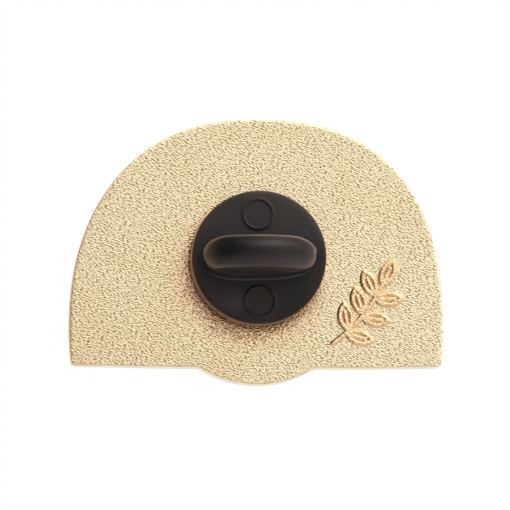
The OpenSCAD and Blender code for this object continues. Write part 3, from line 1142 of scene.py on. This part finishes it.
def struck_gold():
    """Gold plate: a flecked back with painted shade in its hollows, painted shade and reflection of the
    clutch around its foot, an edge browner towards its left end, and deep gold beside raised lines.
    """
    f = new_finish("struck_gold")
    pit, ridge, back = f.field("pit"), f.field("ridge"), f.field("back")
    edge, clutch_shade, deep_shade = f.field("edge"), f.field("clutch_shade"), f.field("deep_shade")
    tone = f.noise(5.0, 2)
    fleck = f.noise(FLECK_SIZE, 0, GRAIN_TURN)
    hollow = 1 - f.ramp(fleck, 0.29, 0.52)
    colour = f.mix(f.ramp(tone, 0.3, 0.7), GOLD, GOLD_PALE)
    colour = f.mix(edge * 0.8, colour, GOLD_EDGE)
    # Painted shade and reflection of the clutch around its foot
    colour = f.mix(clutch_shade, colour, GOLD_SHADE_BROWN)
    # Painted shade in the hollows, darker within the clutch's painted shade
    pit_shade_colour = f.mix(f.ramp(clutch_shade, 0.1, 0.5), GOLD_PIT_SHADE, GOLD_DEEP_SHADE)
    sunk = f.ramp(pit, 0.5, 0.95) * 0.35 + hollow * (0.68 + clutch_shade * 0.20)
    colour = f.mix(sunk * back, colour, pit_shade_colour)
    # Painted contact shadow and painted shade beside the clutch
    colour = f.mix(deep_shade, colour, GOLD_DEEP_SHADE)
    flank = f.ramp(ridge, 0.0, 0.3) * (1 - 0.6 * f.ramp(ridge, 0.75, 1.0))
    colour = f.mix(flank, colour, GOLD_DEEP)
    rough = back * (hollow * 0.10 + 0.01) + edge * 0.2 + 0.17
    return f.surface({"Base Color": colour, "Metallic": 1.0, "Roughness": rough,
                      "Normal": f.bump(fleck * back, FLECK_HEIGHT)})


def polished_gold():
    """Gold plate on the turned post, with faint marks around it."""
    f = new_finish("polished_gold")
    rings = f.noise((2.5, 2.5, 0.09), 3)
    tone = f.noise(1.5, 3)
    colour = f.mix(f.ramp(tone, 0.35, 0.7), GOLD, GOLD_DEEP)
    rough = 0.16 + f.ramp(rings, 0.35, 0.75) * 0.14
    return f.surface({"Base Color": colour, "Metallic": 1.0, "Roughness": rough,
                      "Normal": f.bump(rings, 0.006)})


def gilt_solder():
    """Plated solder, duller and a little wrinkled."""
    f = new_finish("gilt_solder")
    wrinkle = f.noise(0.35, 4)
    tone = f.noise(0.9, 2)
    colour = f.mix(f.ramp(tone, 0.35, 0.7), SOLDER, GOLD_DEEP)
    rough = 0.3 + wrinkle * 0.2
    return f.surface({"Base Color": colour, "Metallic": 1.0, "Roughness": rough,
                      "Normal": f.bump(wrinkle, 0.03)})


def black_rubber():
    """Moulded black rubber with a fine skin and random specks, painted sheen, painted highlights along its
    edges with some rubbing, a painted dark reflection on the bar and a painted reflection of the gold on its
    wall.
    """
    f = new_finish("black_rubber")
    rub_and_highlight, painted_sheen, dark_reflection = f.field("rub_and_highlight"), f.field("painted_sheen"), f.field("dark_reflection")
    wall, brown = f.field("wall"), f.field("brown")
    cloud = f.noise(2.6, 3)
    skin = f.noise(0.12, 3)
    speck = f.noise(0.3, 0)
    patchy = 0.55 + f.ramp(cloud, 0.3, 0.65) * 0.45
    colour = f.mix(f.ramp(cloud, 0.35, 0.75) * 0.05, RUBBER, RUBBER_WEAR_AND_HIGHLIGHT)
    # Painted sheen
    colour = f.mix(painted_sheen, colour, RUBBER_PAINTED_SHEEN)
    # Painted dark reflection
    colour = f.mix(dark_reflection, colour, RUBBER_DARK_REFLECTION)
    # Painted highlights along the edges, with some rubbing
    colour = f.mix(rub_and_highlight * patchy, colour, RUBBER_WEAR_AND_HIGHLIGHT)
    # Painted reflection of the gold on the wall
    colour = f.mix(brown * (0.3 + patchy * 0.7), colour, RUBBER_GOLD_REFLECTION)
    colour = f.mix(f.ramp(speck, 0.82, 0.90) * 0.06, colour, RUBBER_WEAR_AND_HIGHLIGHT)
    rough = 0.40 + f.ramp(cloud, 0.3, 0.8) * 0.10 + rub_and_highlight * 0.12 + skin * 0.05 - wall * 0.30
    return f.surface({"Base Color": colour, "Roughness": rough, "Normal": f.bump(skin, 0.006),
                      "Specular IOR Level": 0.18, "Sheen Weight": 0.15, "Sheen Roughness": 0.3,
                      "Sheen Tint": RUBBER_SHEEN})


def baked_enamel(slot):
    """Glossy enamel with soft clouds in its colour and the faint waves of a poured surface."""
    f = new_finish(slot)
    shade = tuple(0.72 * k for k in ENAMEL[slot])
    cloud = f.noise(3.0, 3)
    wave = f.noise(1.6, 2)
    colour = f.mix(f.ramp(cloud, 0.3, 0.75), ENAMEL[slot], shade)
    rough = 0.10 + f.ramp(wave, 0.4, 0.8) * 0.08
    return f.surface({"Base Color": colour, "Roughness": rough, "Normal": f.bump(wave, 0.02),
                      "Coat Weight": 0.5, "Coat Roughness": 0.05})


# The pieces, with their bodies and the solids that they stand for

def finish_piece(piece, material, body, slot, *nodes):
    """Gives a piece its material and its body, and hides the solids that it stands for."""
    piece.data.materials.append(material)
    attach(piece, body)
    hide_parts(*nodes)


def dress_pin():
    finish_piece(base_plate(), struck_gold(), "pin", "gold_plate", "base_plate")
    finish_piece(post(), polished_gold(), "pin", "gold_post", "post")
    finish_piece(solder_ring(), gilt_solder(), "pin", "gilt_solder", "solder_ring")
    finish_piece(rubber_clutch(), black_rubber(), "clutch", "black_rubber", "rubber_clutch")
    slots = {part["node"]: part["material_slot"] for part in frame["record"]["subparts"]}
    enamels = {slot: baked_enamel(slot) for slot in ENAMEL}
    for node, loop in enamel_cells(FILL_GAP).items():
        finish_piece(enamel_fill(node + "_fill", loop), enamels[slots[node]], "pin", slots[node], node)


# Floor, light and camera

def floor_material():
    """White for the camera and for reflections, with a little of the floor's real light for the shadow."""
    f = new_finish("white_floor")
    path = "ShaderNodeLightPath"
    seen = f.node(path, out="Is Camera Ray") + f.node(path, out="Is Glossy Ray")
    seen = seen + f.node(path, out="Is Transmission Ray")
    plain = f.node("ShaderNodeBsdfDiffuse", {}, {"Color": (0.98, 0.98, 0.98)})
    white = f.node("ShaderNodeEmission", {}, {"Color": (1, 1, 1), "Strength": 1.0})
    shown = f.node("ShaderNodeMixShader", {}, {0: FLOOR_WHITE, 1: plain, 2: white})
    mixed = f.node("ShaderNodeMixShader", {}, {0: seen, 1: plain, 2: shown})
    f.node("ShaderNodeOutputMaterial", {}, {"Surface": mixed})
    return f.owner


def make_floor():
    corners = [(FLOOR_HALF * x, FLOOR_HALF * y, 0) for x, y in ((-1, -1), (1, -1), (1, 1), (-1, 1))]
    mesh = bpy.data.meshes.new("floor")
    mesh.from_pydata(corners, [], [(0, 1, 2, 3)])
    mesh.materials.append(floor_material())
    floor = bpy.data.objects.new("floor", mesh)
    floor.location.z = -FLOOR_DROP
    bpy.context.scene.collection.objects.link(floor)


def soft_light(name, place, size, level):
    """A panel that faces the pin and shines as brightly as a white sheet of the given level."""
    light = bpy.data.lights.new(name, "AREA")
    light.shape = "RECTANGLE"
    light.size, light.size_y = size
    light.energy = level * math.pi * size[0] * size[1]
    panel = bpy.data.objects.new(name, light)
    panel.location = place
    panel.rotation_euler = (-Vector(place)).to_track_quat("-Z", "Y").to_euler()
    bpy.context.scene.collection.objects.link(panel)


def make_light():
    """A window panel at the upper right, a room that is bright there, and dimmer glows around and below."""
    soft_light("window_panel", WINDOW_AT, WINDOW_SIZE, WINDOW_LEVEL)
    room = Finish(bpy.data.worlds.new("room"))
    way = room.node("ShaderNodeTexCoord", out="Generated")
    height = room.node("ShaderNodeSeparateXYZ", {}, {0: way}, out="Z")

    def towards(target):
        return room.node("ShaderNodeVectorMath", {"operation": "DOT_PRODUCT"}, {
            0: way, 1: tuple(Vector(target).normalized())}, out="Value")

    bright = DIM_LEVEL + room.ramp(towards(BRIGHT_WAY), -0.22, 0.97) * BRIGHT_LEVEL
    horizon = HORIZON_LEVEL - room.ramp(height, 0.15, 0.5) * HORIZON_LEVEL
    lower = room.ramp(towards(LOWER_WAY), 0.38, 0.78) * LOWER_LEVEL
    level = bright.larger(horizon).larger(lower)
    glow = room.node("ShaderNodeBackground", {}, {"Color": (1, 1, 1), "Strength": level})
    room.node("ShaderNodeOutputWorld", {}, {"Surface": glow})
    bpy.context.scene.world = room.owner


def make_camera():
    """A long lens nearly straight above the back, from a little to the left and below."""
    camera = bpy.data.cameras.new("camera")
    camera.sensor_width = SENSOR_W
    camera.lens = SENSOR_W * VIEW_DISTANCE / VIEW_WIDTH
    back = Vector((-math.tan(math.radians(TILT_LEFT)), -math.tan(math.radians(TILT_DOWN)), 1)).normalized()
    across = Vector((0, 1, 0)).cross(back).normalized()
    turn = Matrix((across, back.cross(across), back)).transposed()
    turn = turn @ Matrix.Rotation(math.radians(ROLL), 3, "Z")
    holder = bpy.data.objects.new("camera", camera)
    holder.matrix_world = Matrix.Translation((Vector(AIM) + VIEW_DISTANCE * back) * MM) @ turn.to_4x4()
    bpy.context.scene.collection.objects.link(holder)
    bpy.context.scene.camera = holder


make_camera()
dress_pin()
make_floor()
make_light()
bpy.context.scene.view_settings.view_transform = "Standard"
